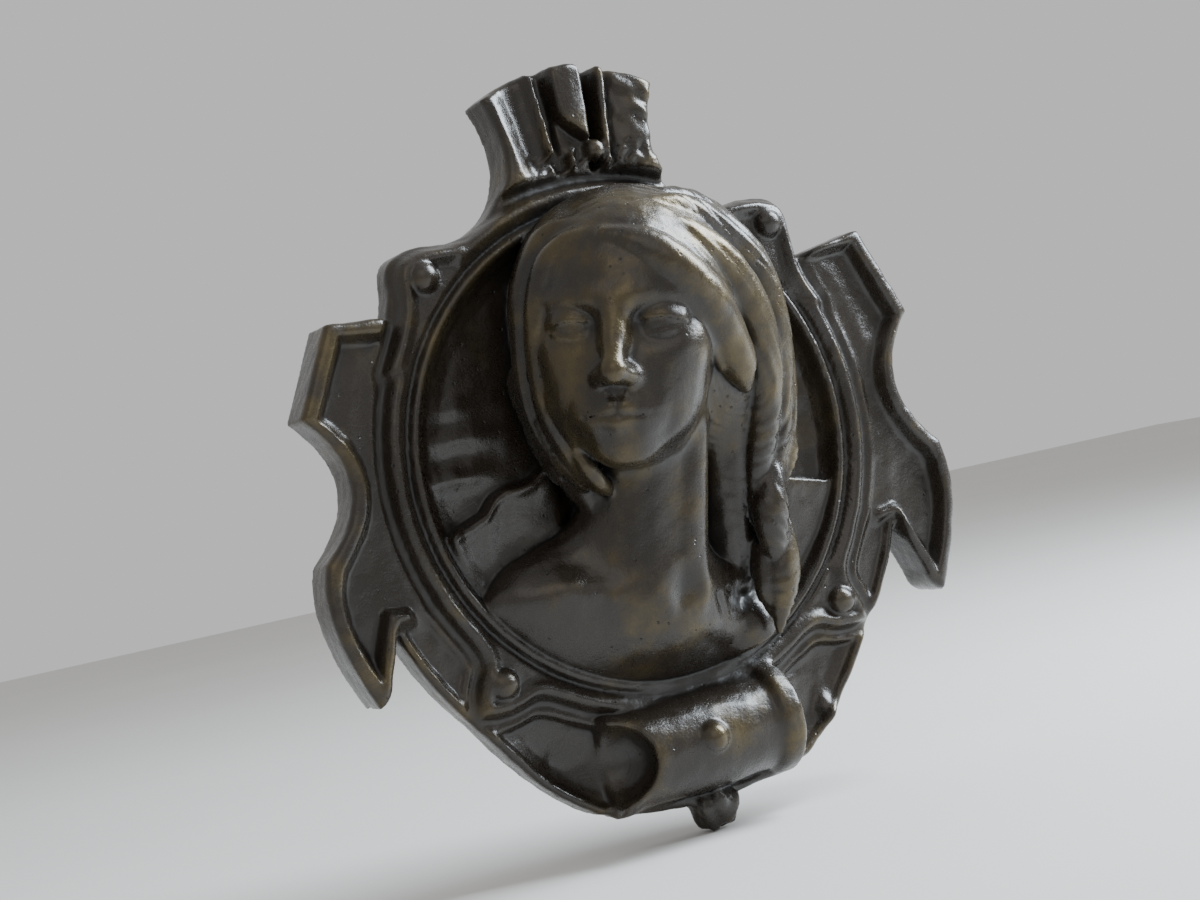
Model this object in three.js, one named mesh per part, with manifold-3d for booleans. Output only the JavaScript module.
// A cast bronze wall plaque: a woman's bust in high relief, in a round medallion on a strapwork
// cartouche with a fanned crest, two notched wings, four bossed lugs and a bottom roll.
// Millimetres, +Z up. The flat back is the plane y = 0, the front looks along -Y, and the origin is
// on the back at the medallion's centre. "High" below means how far a surface stands off the back.
import * as THREE from "three";
import { mergeVertices } from "three/addons/utils/BufferGeometryUtils.js";
import Module from "manifold-3d";

// ---------------------------------------------------------------- driving dimensions
const PAN_HIGH = 12; // sunk panels of the wings and crest
const RIM_HIGH = 17.5; // raised border round the outline
const RIM_WIDE = 4;
const FIELD_HIGH = 6; // dished field behind the bust
const CLOTH_HIGH = 10.4; // cloth that lies on the field at her side
const BEAD = { r: 80, high: 15 }; // inner bead of the medallion ring
const ROLL_BEAD = { r: 87, high: 15.5, wide: 3 }; // outer bead
const RING_EDGE = 96.5; // where the ring steps down to the wings
const BOSS = { r: 4.6, high: 3.8 }; // domed bosses on the lugs
const LUG = { rim_high: 15.6, high: 13.2, inside: 0.6 }; // rim, sunk middle, and the middle's share
const BOSS_AT = { upper: [65, 66.5], lower: [66, -67] };
const FLARE_HIGH = 14.5; // wavy rim right of the roll's collar
const ROLL = { r: 16.5, left: -36, right: 24, high: 13, z: -101 }; // bottom roll, its axis along X
const SCOOP = { at: [-37, -22, -100], r: [13.5, 12.5, 12.5] }; // hollow left end of the roll
const COLLAR = { r: 18.5, right: 32 };
const KNOB = { r: 8, x: 2, high: 10, z: -123 };
const BUST_CELL = 2.9; // mesh size of the bust
const TRIANGLES = 9800; // of the finished casting
const CLIP_R = 78.5; // the shoulders end against the inner bead

// ---------------------------------------------------------------- solids from geometries
const wasm = await Module();
wasm.setup();

function solid(geometry) {
  const bare = geometry.clone();
  for (const name of ["normal", "uv"]) bare.deleteAttribute(name);
  const { attributes, index } = mergeVertices(bare, 1e-3);
  return new wasm.Manifold(
    new wasm.Mesh({
      numProp: 3,
      vertProperties: attributes.position.array,
      triVerts: new Uint32Array(index.array),
    }),
  );
}

function geometryOf(made) {
  const { vertProperties, triVerts } = made.getMesh();
  const geometry = new THREE.BufferGeometry();
  geometry.setAttribute("position", new THREE.BufferAttribute(vertProperties, 3));
  geometry.setIndex(new THREE.BufferAttribute(triVerts, 1));
  geometry.computeVertexNormals();
  return geometry;
}

// A shape drawn in the front view (x, z), standing from `low` to `high` off the back.
function slab(shape, low, high, bevel = 0) {
  const geometry = new THREE.ExtrudeGeometry(shape, {
    depth: high - low - bevel,
    curveSegments: 8,
    bevelEnabled: bevel > 0,
    bevelThickness: bevel,
    bevelSize: bevel,
    bevelOffset: -bevel,
    bevelSegments: 1,
  });
  geometry.rotateX(Math.PI / 2);
  geometry.translate(0, -low, 0);
  return solid(geometry);
}

// A profile of [radius, high] pairs turned about the front-to-back axis through (x, z).
function turned(profile, x, z, segments) {
  const points = profile.map(([r, high]) => new THREE.Vector2(r, high));
  const geometry = new THREE.LatheGeometry(points, segments);
  geometry.rotateX(Math.PI);
  geometry.translate(x, 0, z);
  return solid(geometry);
}

// ---------------------------------------------------------------- the cartouche's outline
// Each side has its own few sizes, because the casting isn't quite symmetrical.
const SIDE = {
  left: { corner: [102, 56], point: [115.5, 28], bulge: [116.5, -18], tip: [108.5, -65], notch: [98, -43] },
  right: { corner: [104, 61], point: [118.5, 29], bulge: [121, -19], tip: [109.5, -72], notch: [96, -46] },
};
const WAIST_DEEP = 12.5; // sagitta of the wing's hollow side

// The outline of one side, from the crest's top to the bottom roll, as points with x > 0.
function sideOutline({ corner, point, bulge, tip, notch }) {
  const path = new THREE.Path();
  path.moveTo(0, 131);
  path.quadraticCurveTo(20, 130, 32.5, 121.5); // crest top
  path.quadraticCurveTo(26, 108, 28.5, 97); // crest side
  path.quadraticCurveTo(33, 80, 53, 77); // neck of the crest
  path.quadraticCurveTo(63, 78, 69, 76); // top of the upper lug
  path.quadraticCurveTo(77, 74, 76, 65);
  path.lineTo(78.5, 55.5);
  path.lineTo(...corner);
  path.lineTo(...point);
  const waist = [(point[0] + bulge[0]) / 2 - 2 * WAIST_DEEP, (point[1] + bulge[1]) / 2];
  path.quadraticCurveTo(...waist, ...bulge);
  path.quadraticCurveTo(bulge[0] + 6.5, bulge[1] - 18, ...tip);
  path.quadraticCurveTo(tip[0] - 5, tip[1] + 2, tip[0] - 6, tip[1] + 8);
  path.lineTo(...notch);
  path.quadraticCurveTo(90, -64, 77, -78); // long lower edge
  path.quadraticCurveTo(60, -104, 41, -116);
  path.quadraticCurveTo(22, -122, 0, -122);
  return path.getPoints(5);
}

function outline() {
  const right = sideOutline(SIDE.right);
  const left = sideOutline(SIDE.left).map((p) => new THREE.Vector2(-p.x, p.y));
  return new THREE.Shape([...right, ...left.reverse().slice(1, -1)].reverse());
}

// ---------------------------------------------------------------- sunk panels
const shapeOf = (points) => new THREE.Shape(points.map(([x, z]) => new THREE.Vector2(x, z)));

// The sunk panel of a wing, a border's width inside the outline and open towards the ring.
function wingPanel(sign, { corner, point, bulge, tip, notch }) {
  const w = RIM_WIDE;
  const shape = new THREE.Shape();
  shape.moveTo(80, corner[1] - 1.5 * w);
  shape.lineTo(corner[0] - w, corner[1] - w);
  shape.lineTo(point[0] - 1.3 * w, point[1] - 0.3 * w);
  const waist = [(point[0] + bulge[0]) / 2 - 2 * WAIST_DEEP - w, (point[1] + bulge[1]) / 2];
  shape.quadraticCurveTo(...waist, bulge[0] - 1.3 * w, bulge[1] - 0.6 * w);
  shape.quadraticCurveTo(bulge[0] + 6 - w, bulge[1] - 18, tip[0] - 0.6 * w, tip[1] + 1.8 * w);
  shape.lineTo(notch[0] + 0.3 * w, notch[1] + 1.5 * w);
  shape.lineTo(notch[0] - 1.2 * w, notch[1] + 1.2 * w);
  shape.quadraticCurveTo(86, -58, 77, -70);
  shape.lineTo(66, -62);
  shape.absarc(0, 0, RING_EDGE - 6, -0.75, 0.7, false);
  return shapeOf(shape.getPoints(6).map((p) => [sign * p.x, p.y]));
}

// The long hollow between the ring and the lower edge, beside the roll.
function lowerPanel(sign) {
  const shape = new THREE.Shape();
  shape.moveTo(70, -79);
  shape.quadraticCurveTo(56, -99, 40, -111);
  shape.quadraticCurveTo(30, -115, 24, -116);
  shape.lineTo(24, -91);
  shape.quadraticCurveTo(46, -88, 62, -80);
  return shapeOf(shape.getPoints(6).map((p) => [sign * p.x, p.y]));
}

// ---------------------------------------------------------------- parts of the cartouche
function ring() {
  const { r, high } = BEAD;
  const b = ROLL_BEAD;
  const section = [
    [r - 5, 2],
    [r - 5, FIELD_HIGH + 0.5],
    [r - 2, high - 2],
    [r, high],
    [r + 1.6, high - 0.8],
    [r + 3, high - 3.5],
    [b.r - b.wide, high - 2.5],
    [b.r - 1.5, b.high - 0.3],
    [b.r + 0.6, b.high],
    [b.r + b.wide, high - 2],
    [b.r + 5, high - 4],
    [RING_EDGE - 1.5, high - 2.5],
    [RING_EDGE, PAN_HIGH + 0.6],
    [RING_EDGE, 2],
    [r - 5, 2],
  ];
  return turned(section.reverse(), 0, 0, 72);
}

function boss(x, z, high) {
  const steps = 4;
  const profile = [[0, high - 3], [BOSS.r, high - 3]];
  for (let i = 0; i <= steps; i++) {
    const a = (i / steps) * (Math.PI / 2);
    profile.push([BOSS.r * Math.cos(a), high + BOSS.high * Math.sin(a)]);
  }
  profile[profile.length - 1][0] = 0;
  return turned(profile, x, z, 14);
}

function upperLug(sign) {
  const shape = new THREE.Shape();
  shape.moveTo(50, 75.5);
  shape.quadraticCurveTo(62, 77, 68, 74.5);
  shape.quadraticCurveTo(75, 73, 74.5, 64);
  shape.quadraticCurveTo(75, 52, 84, 38);
  shape.lineTo(76, 30);
  shape.lineTo(40, 68);
  return shapeOf(shape.getPoints(5).map((p) => [sign * p.x, p.y]));
}

function lowerLug(sign) {
  const shape = new THREE.Shape();
  shape.moveTo(80, -36);
  shape.quadraticCurveTo(67, -51, 73, -63);
  shape.quadraticCurveTo(77, -70, 76, -76);
  shape.quadraticCurveTo(66, -79, 57, -75);
  shape.quadraticCurveTo(46, -71, 34, -80);
  shape.lineTo(44, -66);
  shape.lineTo(70, -38);
  return shapeOf(shape.getPoints(5).map((p) => [sign * p.x, p.y]));
}

// A lug: a raised rim round a sunk middle, which is the lug's own shape made smaller about its boss.
function lug(sign, shape, [x, z]) {
  const centre = new THREE.Vector2(sign * x, z);
  const inner = shape.getPoints().map((p) => p.clone().sub(centre).multiplyScalar(LUG.inside).add(centre));
  const beads = turned([[0, 0], [BEAD.r + 4.5, 0], [BEAD.r + 4.5, 40], [0, 40]], 0, 0, 72);
  const middle = slab(new THREE.Shape(inner), LUG.high, 40).subtract(beads);
  const rim = slab(shape, 2, LUG.rim_high, 1).subtract(beads);
  return { rim, middle, boss: boss(sign * x, z, LUG.high + 1.2) };
}

function flare() {
  const edge = [[43, -93], [47.5, -94], [46.5, -100], [48.5, -107], [46, -112], [42, -113], [44, -103]];
  return slab(shapeOf(edge), 2, FLARE_HIGH, 1);
}

// The crest: a tapering key between a deep recess and a slot, a ridge on each side, and hollow
// outer flanges. Each cut is a shape and the height it is cut down to.
const CREST_CUTS = [
  { high: 13.2, shape: [[-30, 118], [-16.5, 125], [-12.5, 101], [-14, 92], [-28, 89], [-25, 102]] },
  { high: 9.8, shape: [[-14.2, 133], [-7.2, 133], [-5, 112], [4, 104], [5, 97], [-10, 96]] },
  { high: 8.4, shape: [[6.2, 133], [11, 133], [9, 104], [5.4, 104]] },
  { high: 13, shape: [[15.6, 127], [25, 121], [23, 108], [23, 96], [13.5, 94], [13.6, 104]] },
];

const crestCuts = () => CREST_CUTS.map(({ high, shape }) => slab(shapeOf(shape), high, 30));

function scoop() {
  const geometry = new THREE.SphereGeometry(1, 24, 16);
  geometry.scale(...SCOOP.r);
  geometry.translate(...SCOOP.at);
  return solid(geometry);
}

function bottomRoll() {
  const { r, left, right, high, z } = ROLL;
  const c = COLLAR;
  const hollow = r - 4;
  const section = [
    [0, left + 12], [hollow - 4, left + 11], [hollow, left + 1], [r - 1.2, left],
    [r + 0.6, left + 2.5], [r, left + 7], [r - 0.4, right - 4], [r, right - 0.5],
    [c.r, right + 1], [c.r + 0.5, c.right - 1], [c.r - 2, c.right], [0, c.right],
  ];
  const points = section.map(([rad, x]) => new THREE.Vector2(rad, x));
  const geometry = new THREE.LatheGeometry(points, 32);
  geometry.rotateZ(-Math.PI / 2);
  geometry.rotateY(0.03);
  geometry.rotateX(Math.PI / 2);
  geometry.translate(0, -high, z);
  return solid(geometry);
}

function knob() {
  const geometry = new THREE.IcosahedronGeometry(KNOB.r, 2);
  const position = geometry.getAttribute("position");
  const p = new THREE.Vector3();
  for (let i = 0; i < position.count; i++) {
    p.fromBufferAttribute(position, i);
    const lump = 1 + 0.07 * Math.sin(0.9 * p.x + 1) * Math.cos(0.8 * p.z) + 0.05 * Math.sin(1.1 * p.y);
    p.multiplyScalar(lump);
    position.setXYZ(i, p.x, p.y, p.z);
  }
  geometry.translate(KNOB.x, -KNOB.high, KNOB.z);
  return solid(geometry);
}

// ---------------------------------------------------------------- distance functions for the bust
const { abs, cos, hypot, max, min, sin } = Math;
const clamp = THREE.MathUtils.clamp;

// Smooth union and cut of two distances, blended over k.
function join(a, b, k) {
  const h = max(k - abs(a - b), 0) / k;
  return min(a, b) - (h * h * k) / 4;
}
const carve = (a, b, k) => -join(-a, b, k);
const trim = (a, b, k) => -join(-a, -b, k);

function ball(p, c, r) {
  const x = p[0] - c[0];
  const y = p[1] - c[1];
  const z = p[2] - c[2];
  const k0 = hypot(x / r[0], y / r[1], z / r[2]);
  const k1 = hypot(x / r[0] ** 2, y / r[1] ** 2, z / r[2] ** 2);
  return k1 < 1e-9 ? -min(...r) : (k0 * (k0 - 1)) / k1;
}

// A tapered rod between two points of [x, y, z, radius].
function rod(p, a, b) {
  const bx = b[0] - a[0];
  const by = b[1] - a[1];
  const bz = b[2] - a[2];
  const px = p[0] - a[0];
  const py = p[1] - a[1];
  const pz = p[2] - a[2];
  const t = clamp((px * bx + py * by + pz * bz) / (bx * bx + by * by + bz * bz), 0, 1);
  return hypot(px - bx * t, py - by * t, pz - bz * t) - (a[3] + (b[3] - a[3]) * t);
}

// A lock or fold: a smooth curve through points of [x, y, z, radius], as a chain of tapered rods.
function lock(points, pieces = 4) {
  const curve = new THREE.CatmullRomCurve3(points.map((v) => new THREE.Vector3(...v)));
  const count = (points.length - 1) * pieces;
  return Array.from({ length: count + 1 }, (_, i) => {
    const t = (i / count) * (points.length - 1);
    const k = min(Math.floor(t), points.length - 2);
    const r = points[k][3] + (points[k + 1][3] - points[k][3]) * (t - k);
    return [...curve.getPoint(i / count).toArray(), r];
  });
}

function strand(p, chain) {
  let d = 1e9;
  for (let i = 0; i + 1 < chain.length; i++) d = min(d, rod(p, chain[i], chain[i + 1]));
  return d;
}

// ---------------------------------------------------------------- the head
// Head space: x to the viewer's right, y up, z out of the face, in units of 1/94 of the head's height.
const HEAD = { at: [-6, -34, 39], turn: -0.62, nod: 0.1, tilt: 0.19, scale: 1.06 };
const HEAD_AXES = (() => {
  const turn = new THREE.Matrix4().makeRotationZ(HEAD.turn);
  const tilt = new THREE.Matrix4().makeRotationY(HEAD.tilt);
  const right = new THREE.Vector3(1, 0, 0);
  const up = new THREE.Vector3(0, -sin(HEAD.nod), cos(HEAD.nod));
  const out = new THREE.Vector3(0, -cos(HEAD.nod), -sin(HEAD.nod));
  return [right, up, out].map((v) => v.applyMatrix4(turn).applyMatrix4(tilt).toArray());
})();

function toHead(p) {
  const d = [0, 1, 2].map((i) => (p[i] - HEAD.at[i]) / HEAD.scale);
  return HEAD_AXES.map((a) => a[0] * d[0] + a[1] * d[1] + a[2] * d[2]);
}

function fromHead(q) {
  return [0, 1, 2].map(
    (i) => HEAD.at[i] + HEAD.scale * HEAD_AXES.reduce((sum, a, k) => sum + a[i] * q[k], 0),
  );
}

function face(q) {
  const m = [abs(q[0]), q[1], q[2]];
  let d = ball(q, [0, 11, -6], [30, 31, 35]); // skull
  d = join(d, ball(q, [0, 12, 6], [26.5, 25, 24]), 8); // forehead
  d = join(d, ball(q, [0, -8, 5], [26.5, 31, 25]), 8); // middle of the face
  d = join(d, ball(q, [0, -26, 9], [18.5, 17, 19]), 10); // jaw
  d = join(d, ball(m, [15.5, -9, 17.5], [10, 9, 9]), 7); // cheekbones
  d = join(d, ball(m, [11.5, -21, 16], [10, 12, 10]), 8); // cheeks
  d = join(d, ball(q, [0, -37.5, 22], [9, 6.5, 7]), 7); // chin
  d = carve(d, ball(m, [12.8, -0.5, 33.5], [10.5, 6.2, 7.2]), 6); // eye sockets
  d = join(d, rod(m, [5.5, 6.5, 28.6, 2.6], [20, 7, 22.5, 2.2]), 5); // brows
  let nose = rod(q, [0, 4.5, 28.2, 2.7], [0, -14.5, 36.2, 3.5]);
  nose = join(nose, ball(q, [0, -16.2, 36.8], [4.3, 3.9, 4.2]), 3);
  nose = join(nose, ball(m, [4.6, -17.4, 32.4], [2.8, 2.9, 4.2]), 2.5);
  d = join(d, nose, 4);
  d = join(d, ball(m, [12.8, -1.2, 21.2], [8.8, 7.4, 8]), 1.5); // closed eyes
  d = join(d, ball(q, [0, -27.8, 25.5], [12, 7.5, 6.8]), 5); // mound of the mouth
  d = join(d, rod(m, [2.2, -25.9, 32, 1.9], [10.2, -28.2, 27.4, 0.7]), 1.6); // lips
  return join(d, rod(m, [0, -30.7, 31.2, 2.3], [8.6, -29.3, 28.2, 0.9]), 1.6);
}

const HAIRLINE = { wide: 23.5, tall: 32, at: -7 }; // the arch of hair round the face

// Locks that lie over the hair's mass, each from the parting to its tip.
const LOCKS = [
  lock([
    [-21, -57.5, 66, 3], [-11.5, -62.5, 60.5, 6], [-2, -65.5, 51.5, 7.3], [8, -62.5, 40, 7.8],
    [16, -56, 29, 7.4], [21.5, -51, 18, 6.6], [24.5, -47, 8, 2.2],
  ]),
  lock([
    [-16, -55, 71, 3], [4, -58, 66, 6.5], [20, -55, 55.5, 8], [29.5, -50.5, 42.5, 8.2],
    [34.5, -47, 28, 7.8], [36.5, -42, 12, 6.8], [34.5, -38, -3, 5.6], [27.5, -33, -26, 1.6],
  ]),
  lock([
    [-10, -52, 76, 3], [8, -52, 76, 6], [26, -47, 69, 8], [38, -44, 57.5, 8.3], [43.5, -42.5, 43, 8.2],
    [45.5, -40, 26, 7.6], [45, -36, 9, 6.8], [42, -34, -6, 5.6], [38, -33, -16, 4],
  ]),
  lock([
    [-4, -44, 80, 4], [16, -42, 80, 7], [34, -37, 73.5, 8], [45, -34, 61, 8.2], [50, -33, 45, 8.2],
    [52, -32, 27, 7.8], [50.5, -31, 10, 7], [47, -31, -6, 5.4], [43.5, -31, -19, 1.8],
  ]),
  lock([
    [-23, -53, 67, 3], [-29.5, -46, 66.5, 5], [-35.5, -40, 62, 6], [-40, -36, 53, 6.2], [-42.5, -32, 41, 6.2],
    [-42.5, -30, 28, 6], [-41, -29, 15, 5.6], [-37, -29.5, 3, 5.2], [-30, -30, -8, 4.2], [-23, -29, -15, 1.8],
  ]),
  lock([
    [-22, -48, 72, 3], [-29, -36, 74, 5.5], [-36, -30, 68.5, 6.2], [-42, -26, 57, 6.2], [-45, -23, 43, 6.2],
    [-46, -22, 27, 6], [-44.5, -22, 14, 5.6], [-40, -24, 2, 4.8], [-33, -25, -9, 3],
  ]),
];

// Hair on the head: a cap over the skull and a wide mass each side, open in front of the face.
function hair(p, q) {
  let d = HEAD.scale * ball(q, [0, 9.5, -6], [34.5, 36.5, 39]);
  d = join(d, ball(p, [21, -24, 38], [36, 28, 45]), 12);
  d = join(d, ball(p, [-13, -22, 36], [31.5, 28, 45]), 12);
  const s = hypot(q[0] / HAIRLINE.wide, (q[1] - HAIRLINE.at) / HAIRLINE.tall);
  const opening = (1 - s) * 24 + 1.2 * min(q[2] - 3, 0);
  d = trim(d, opening, 3);
  for (const chain of LOCKS) d = join(d, strand(p, chain), 1.6);
  return carve(d, rod(q, [0, 31, 33, 0.8], [3, 50, -4, 0.8]), 2); // the parting
}

// Long hair behind the neck on both sides, and the leaf-shaped turns of the plait on one shoulder.
const FALLS = [
  lock([[48, -18, 26, 16], [43, -22, 2, 12], [37, -22, -22, 9], [32, -18, -46, 7]]),
  lock([[30, -18, 12, 14], [24, -18, -14, 12], [23, -17, -40, 10]]),
  lock([[-38, -16, 26, 12], [-35, -18, 4, 10], [-27, -20, -12, 7], [-20, -20, -22, 4]]),
];
const PLAIT = [
  lock([[45.5, -30, -4, 4.2], [45, -31.5, -12, 4.6], [42, -31, -23, 1.2]]),
  lock([[38, -33, -12, 4.5], [32.5, -35, -28, 6.6], [31.5, -34, -40, 5], [33, -32, -49, 1.6]]),
  lock([[38, -29, -26, 3.5], [36.5, -31, -40, 5.4], [33.5, -31, -54, 6.2], [30, -29, -70, 1.6]]),
  lock([[30, -29, -42, 4], [28.5, -29, -54, 4.4], [29, -28, -64, 1.5]]),
];

function falls(p) {
  const behindNeck = FALLS.reduce((d, chain) => join(d, strand(p, chain), 2), 1e9);
  return PLAIT.reduce((d, leaf) => join(d, strand(p, leaf), 1), behindNeck);
}

// ---------------------------------------------------------------- neck, shoulders and cloth
const NAPE = fromHead([0, -22, -8]);
const EAR_RIGHT = fromHead([19, -20, -6]);
const EAR_LEFT = fromHead([-14, -24, -2]);

function torso(p) {
  let d = rod(p, [...NAPE, 18.5], [-8, -15, -48, 21]); // neck
  d = join(d, rod(p, [...EAR_RIGHT, 5], [-2, -33, -48, 4]), 7);
  d = join(d, rod(p, [...EAR_LEFT, 4.5], [-11, -33, -48, 3.5]), 7);
  let chest = ball(p, [-18, -5, -70], [54, 26, 38]);
  chest = join(chest, ball(p, [-48, -10, -54], [24, 15, 22]), 12); // her right shoulder
  chest = join(chest, ball(p, [-34, -18, -74], [20, 12, 20]), 12);
  chest = join(chest, ball(p, [0, -18, -74], [18, 12, 20]), 12);
  chest = join(chest, rod(p, [-14, -16, -26, 11], [-46, -8, -42, 11]), 12); // slope of the neck
  chest = join(chest, rod(p, [-12, -29, -50, 2.5], [-42, -23, -43, 3.5]), 8); // collarbones
  chest = join(chest, rod(p, [-1, -29, -51, 2.5], [22, -22, -48, 3.5]), 8);
  const r = hypot(p[0], p[2]);
  const dome = -p[1] - 13.5 - 24 * max(1 - (r / 80) ** 4, 0); // the chest dies into the bead
  chest = trim(trim(chest, dome, 5), r - CLIP_R, 1.5);
  d = join(d, chest, 12);
  d = carve(d, ball(p, [-6.5, -41, -50], [4, 5, 4.5]), 8); // pit of the neck
  let cloak = ball(p, [26, -8, -68], [15, 17, 15]); // cloth on her other shoulder
  cloak = trim(cloak, r - CLIP_R, 1.5);
  return join(d, cloak, 2);
}

// The upper edge of the cloth that lies on the field at her side, from left to right.
const CLOTH_EDGE = [[-82, -22], [-70, -15.5], [-59, -11.5], [-52, -5.5], [-40, -3.7], [-34, -0.3], [-20, 3]];

function clothEdge(x) {
  const i = clamp(CLOTH_EDGE.findIndex(([at]) => at > x), 1, CLOTH_EDGE.length - 1);
  const [[x0, z0], [x1, z1]] = [CLOTH_EDGE[i - 1], CLOTH_EDGE[i]];
  return z0 + (z1 - z0) * clamp((x - x0) / (x1 - x0), 0, 1);
}

// Cloth low on the field on one side, and a sloping ledge on the other.
function ground(p) {
  const cloth = trim(max(p[2] - clothEdge(p[0]), p[0] + 20), -p[1] - CLOTH_HIGH, 1.5);
  const top = 0.25 * (p[0] - 57) + p[2] + 21;
  const ledge = max(-12 - 0.09 * (p[2] + 24) - p[1], top, 42 - p[0]);
  return max(min(cloth, ledge), hypot(p[0], p[2]) - CLIP_R);
}

function bust(p) {
  const q = toHead(p);
  let d = join(HEAD.scale * face(q), torso(p), 5);
  d = join(d, hair(p, q), 1.2);
  d = join(d, falls(p), 2);
  d = join(d, ground(p), 2);
  return max(d, p[1] + 3);
}

// ---------------------------------------------------------------- meshing a distance function
const AXES = [0, 1, 2];
const CORNERS = [0, 1, 2, 3, 4, 5, 6, 7]; // bit 0, 1 and 2 step along x, y and z

// How many separate groups the corners picked by `bits` form along a cell's edges.
function groups(bits) {
  let left = bits;
  let count = 0;
  while (left) {
    count++;
    let group = left & -left;
    for (let i = 0; i < 8; i++) {
      for (const c of CORNERS) {
        const beside = (1 << (c ^ 1)) | (1 << (c ^ 2)) | (1 << (c ^ 4));
        if ((group >> c) & 1) group |= left & beside;
      }
    }
    left &= ~group;
  }
  return count;
}
const PINCHED = Array.from({ length: 256 }, (_, bits) => groups(bits) > 1 || groups(255 - bits) > 1);

// Fills the corners round which the surface would touch itself, so that its mesh is a clean skin.
function fillPinches(value, slot, each) {
  let found = 0;
  each(0, 1, ([i, j, k]) => {
    const at = CORNERS.map((c) => slot(i + (c & 1), j + ((c >> 1) & 1), k + (c >> 2)));
    const bits = at.reduce((sum, s, c) => sum | (value[s] < 0 ? 1 << c : 0), 0);
    if (!PINCHED[bits]) return;
    found++;
    const outside = at.filter((s) => value[s] >= 0);
    value[outside.reduce((a, b) => (value[b] < value[a] ? b : a))] = -0.01;
  });
  return found;
}

// A closed mesh of f < 0 inside a box: one vertex for each cell that the surface crosses.
function surfaceNet(f, low, high, cell) {
  const n = AXES.map((a) => Math.ceil((high[a] - low[a]) / cell) + 1);
  const place = (i, j, k) => [low[0] + i * cell, low[1] + j * cell, low[2] + k * cell];
  const slot = (i, j, k) => (k * n[1] + j) * n[0] + i;
  const value = new Float32Array(n[0] * n[1] * n[2]);
  const each = (from, less, visit) => {
    for (let k = from; k < n[2] - less; k++) {
      for (let j = from; j < n[1] - less; j++) {
        for (let i = from; i < n[0] - less; i++) visit([i, j, k]);
      }
    }
  };
  each(0, 0, (c) => {
    value[slot(...c)] = f(place(...c));
  });
  while (fillPinches(value, slot, each));
  const vertexOf = new Int32Array(value.length).fill(-1);
  const positions = [];
  each(0, 1, (c) => {
    const sum = [0, 0, 0];
    let crossings = 0;
    for (const a of AXES) {
      for (let side = 0; side < 4; side++) {
        const from = [...c];
        from[(a + 1) % 3] += side & 1;
        from[(a + 2) % 3] += side >> 1;
        const to = [...from];
        to[a] += 1;
        const v = value[slot(...from)];
        const w = value[slot(...to)];
        if (v < 0 === w < 0) continue;
        const t = v / (v - w);
        for (const b of AXES) sum[b] += from[b] + (to[b] - from[b]) * t;
        crossings++;
      }
    }
    if (!crossings) return;
    vertexOf[slot(...c)] = positions.length;
    positions.push(place(...sum.map((s) => s / crossings)));
  });
  const triangles = [];
  each(1, 1, (c) => {
    const inside = value[slot(...c)] < 0;
    for (const a of AXES) {
      const next = [...c];
      next[a] += 1;
      if (inside === value[slot(...next)] < 0) continue;
      const corner = (db, dc) => {
        const at = [...c];
        at[(a + 1) % 3] -= db;
        at[(a + 2) % 3] -= dc;
        return vertexOf[slot(...at)];
      };
      const quad = [corner(1, 1), corner(0, 1), corner(0, 0), corner(1, 0)];
      if (!inside) quad.reverse();
      triangles.push(quad[0], quad[1], quad[2], quad[0], quad[2], quad[3]);
    }
  });
  for (let round = 0; round < 3; round++) positions.forEach((p) => settle(f, p, cell));
  const geometry = new THREE.BufferGeometry();
  geometry.setAttribute("position", new THREE.Float32BufferAttribute(positions.flat(), 3));
  geometry.setIndex(triangles);
  return geometry;
}

// Moves a vertex down the slope of f to the surface, by no more than a third of a cell.
function settle(f, p, cell) {
  const step = cell / 20;
  const d = f(p);
  const slope = AXES.map((a) => {
    const q = [...p];
    q[a] += step;
    return (f(q) - d) / step;
  });
  const steep = slope[0] ** 2 + slope[1] ** 2 + slope[2] ** 2 || 1;
  const move = 0.8 * clamp(d / steep, -cell / 3, cell / 3);
  for (const a of AXES) p[a] -= slope[a] * move;
}

// ---------------------------------------------------------------- fewer triangles
const normalOf = ([a, b, c]) => b.clone().sub(a).cross(c.clone().sub(a));

// The sum of squared distances from v to the planes gathered in q (ten terms of a 4 x 4 matrix).
function planeError(q, v) {
  const w = [v.x, v.y, v.z, 1];
  let e = 0;
  let k = 0;
  for (let i = 0; i < 4; i++) {
    for (let j = i; j < 4; j++) e += (i === j ? 1 : 2) * q[k++] * w[i] * w[j];
  }
  return e;
}

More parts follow.
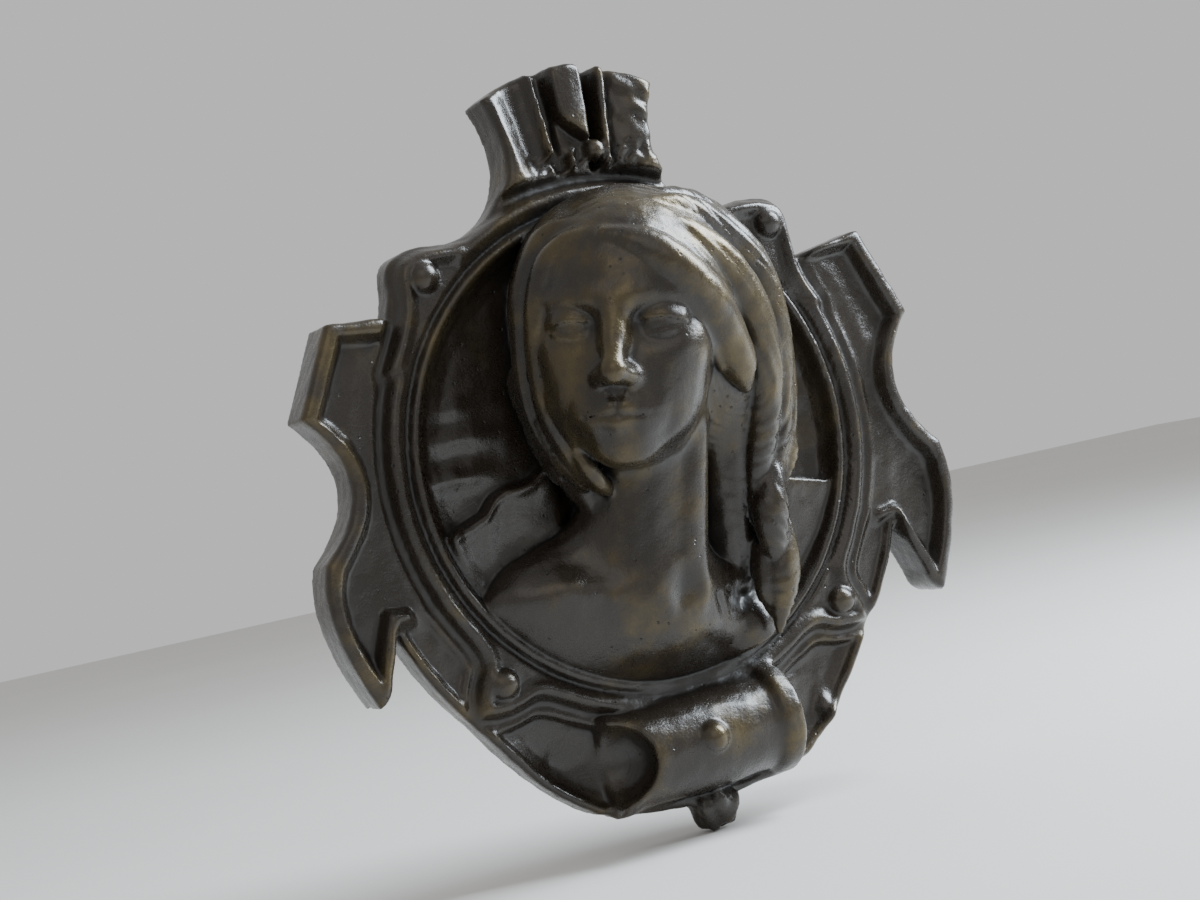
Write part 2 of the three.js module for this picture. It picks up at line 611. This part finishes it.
// A closed mesh whose edges can be collapsed one by one and stay closed.
class Skin {
  constructor(geometry) {
    const at = geometry.getAttribute("position");
    const { array } = geometry.index;
    this.points = Array.from({ length: at.count }, (_, i) => new THREE.Vector3().fromBufferAttribute(at, i));
    this.faces = Array.from({ length: array.length / 3 }, (_, i) => [...array.slice(3 * i, 3 * i + 3)]);
    this.around = this.points.map(() => new Set());
    this.planes = this.points.map(() => new Float64Array(10));
    this.age = new Int32Array(at.count);
    this.gone = new Set();
    this.left = this.faces.length;
    this.faces.forEach((face, i) => this.addPlane(face, i));
  }

  addPlane(face, i) {
    const n = normalOf(face.map((v) => this.points[v]));
    const area = n.length() / 2;
    n.normalize();
    const w = [n.x, n.y, n.z, -n.dot(this.points[face[0]])];
    for (const v of face) {
      this.around[v].add(i);
      let k = 0;
      for (let r = 0; r < 4; r++) {
        for (let c = r; c < 4; c++) this.planes[v][k++] += area * w[r] * w[c];
      }
    }
  }

  neighbours(v) {
    const found = new Set();
    for (const f of this.around[v]) this.faces[f].forEach((u) => found.add(u));
    found.delete(v);
    return found;
  }

  offer(a, b) {
    const [p, q] = [this.points[a], this.points[b]];
    const planes = this.planes[a].map((value, i) => value + this.planes[b][i]);
    const spots = [p, q, p.clone().lerp(q, 0.5)].map((v) => ({ v: v.clone(), e: planeError(planes, v) }));
    const best = spots.reduce((x, y) => (y.e < x.e ? y : x));
    const cost = best.e + 1e-4 * p.distanceToSquared(q);
    return { cost, a, b, spot: best.v, planes, age: this.age[a] + this.age[b] };
  }

  live({ a, b, age }) {
    return !this.gone.has(a) && !this.gone.has(b) && age === this.age[a] + this.age[b];
  }

  // Whether moving both ends of an edge to `spot` would turn a face over or flatten it to nothing.
  folds({ a, b, spot }) {
    return [...this.around[a], ...this.around[b]].some((f) => {
      const face = this.faces[f];
      if (face.includes(a) && face.includes(b)) return false;
      const before = normalOf(face.map((v) => this.points[v]));
      const after = normalOf(face.map((v) => (v === a || v === b ? spot : this.points[v])));
      return after.length() < 1e-2 || before.dot(after) < 0.2 * before.length() * after.length();
    });
  }

  // Collapses an edge and returns the vertices whose edges changed, or none if it can't.
  collapse(edge) {
    const { a, b } = edge;
    const [na, nb] = [this.neighbours(a), this.neighbours(b)];
    const shared = [...na].filter((v) => nb.has(v)).length;
    if (shared !== 2 || this.folds(edge)) return [];
    for (const f of [...this.around[b]]) {
      const face = this.faces[f];
      face.forEach((v) => this.around[v].delete(f));
      if (face.includes(a)) {
        this.left--;
        continue;
      }
      this.faces[f] = face.map((v) => (v === b ? a : v));
      this.faces[f].forEach((v) => this.around[v].add(f));
    }
    this.points[a].copy(edge.spot);
    this.planes[a] = edge.planes;
    this.gone.add(b);
    for (const v of [a, ...na, ...nb]) this.age[v]++;
    return [a, ...this.neighbours(a)];
  }

  geometry() {
    const kept = new Set(this.around.flatMap((set) => [...set]));
    const made = new THREE.BufferGeometry();
    const points = this.points.flatMap((v) => v.toArray());
    made.setAttribute("position", new THREE.Float32BufferAttribute(points, 3));
    made.setIndex([...kept].flatMap((f) => this.faces[f]));
    made.deleteAttribute("normal");
    return mergeVertices(made.toNonIndexed(), 1e-6);
  }
}

// Collapses the edges that matter least to the form until `goal` triangles are left.
function thinned(geometry, goal) {
  geometry.deleteAttribute("normal");
  const skin = new Skin(geometry);
  const fresh = (vertices) => {
    const seen = new Set(vertices);
    const found = [];
    for (const a of seen) {
      if (skin.gone.has(a)) continue;
      for (const b of skin.neighbours(a)) if (!seen.has(b) || a < b) found.push(skin.offer(a, b));
    }
    return found;
  };
  let queue = fresh(skin.points.keys());
  while (skin.left > goal && queue.length) {
    queue.sort((x, y) => x.cost - y.cost);
    const batch = queue.splice(0, Math.max(50, queue.length >> 4));
    const touched = [];
    for (const edge of batch) {
      if (skin.left > goal && skin.live(edge)) touched.push(...skin.collapse(edge));
    }
    queue = queue.filter((edge) => skin.live(edge)).concat(fresh(touched));
  }
  const made = skin.geometry();
  made.computeVertexNormals();
  return made;
}

// ---------------------------------------------------------------- the plaque
function cartouche() {
  let made = slab(outline(), 0, RIM_HIGH, 1.5);
  const disc = new THREE.Shape().absarc(0, 0, RING_EDGE - 0.5, 0, 2 * Math.PI, true);
  const cuts = [slab(new THREE.Shape(disc.getPoints(36).reverse()), FIELD_HIGH, 60)];
  for (const [sign, side] of [[-1, SIDE.left], [1, SIDE.right]]) {
    cuts.push(slab(wingPanel(sign, side), PAN_HIGH, 60));
    cuts.push(slab(lowerPanel(sign), PAN_HIGH - 2, 60));
  }
  for (const cut of cuts) made = made.subtract(cut);
  made = made.add(ring());
  for (const sign of [-1, 1]) {
    const lugs = [lug(sign, upperLug(sign), BOSS_AT.upper), lug(sign, lowerLug(sign), BOSS_AT.lower)];
    for (const { rim, middle, boss: dome } of lugs) made = made.add(rim).subtract(middle).add(dome);
  }
  for (const cut of crestCuts()) made = made.subtract(cut);
  made = made.add(boss(-3, ROLL.z + 1, ROLL.high + ROLL.r - 0.5));
  return made.add(flare()).add(bottomRoll()).subtract(scoop()).add(knob());
}

// The outer skin alone: the small voids left where two forms meet are filled.
function skin(made) {
  return made.decompose().reduce((a, b) => (b.volume() > a.volume() ? b : a));
}

function behind() {
  const geometry = new THREE.BoxGeometry(400, 100, 400);
  geometry.translate(0, 50, 0);
  return solid(geometry);
}

const bustMesh = surfaceNet(bust, [-92, -84, -88], [92, 0, 94], BUST_CELL);
const casting = skin(cartouche().add(solid(bustMesh)).subtract(behind()));
const plaque = new THREE.Mesh(
  thinned(geometryOf(casting), TRIANGLES),
  new THREE.MeshStandardMaterial({ color: 0x3a2e22, roughness: 0.36, metalness: 0.85 }),
);
plaque.name = "plaque";

const part = new THREE.Group();
part.add(plaque);

export default part;
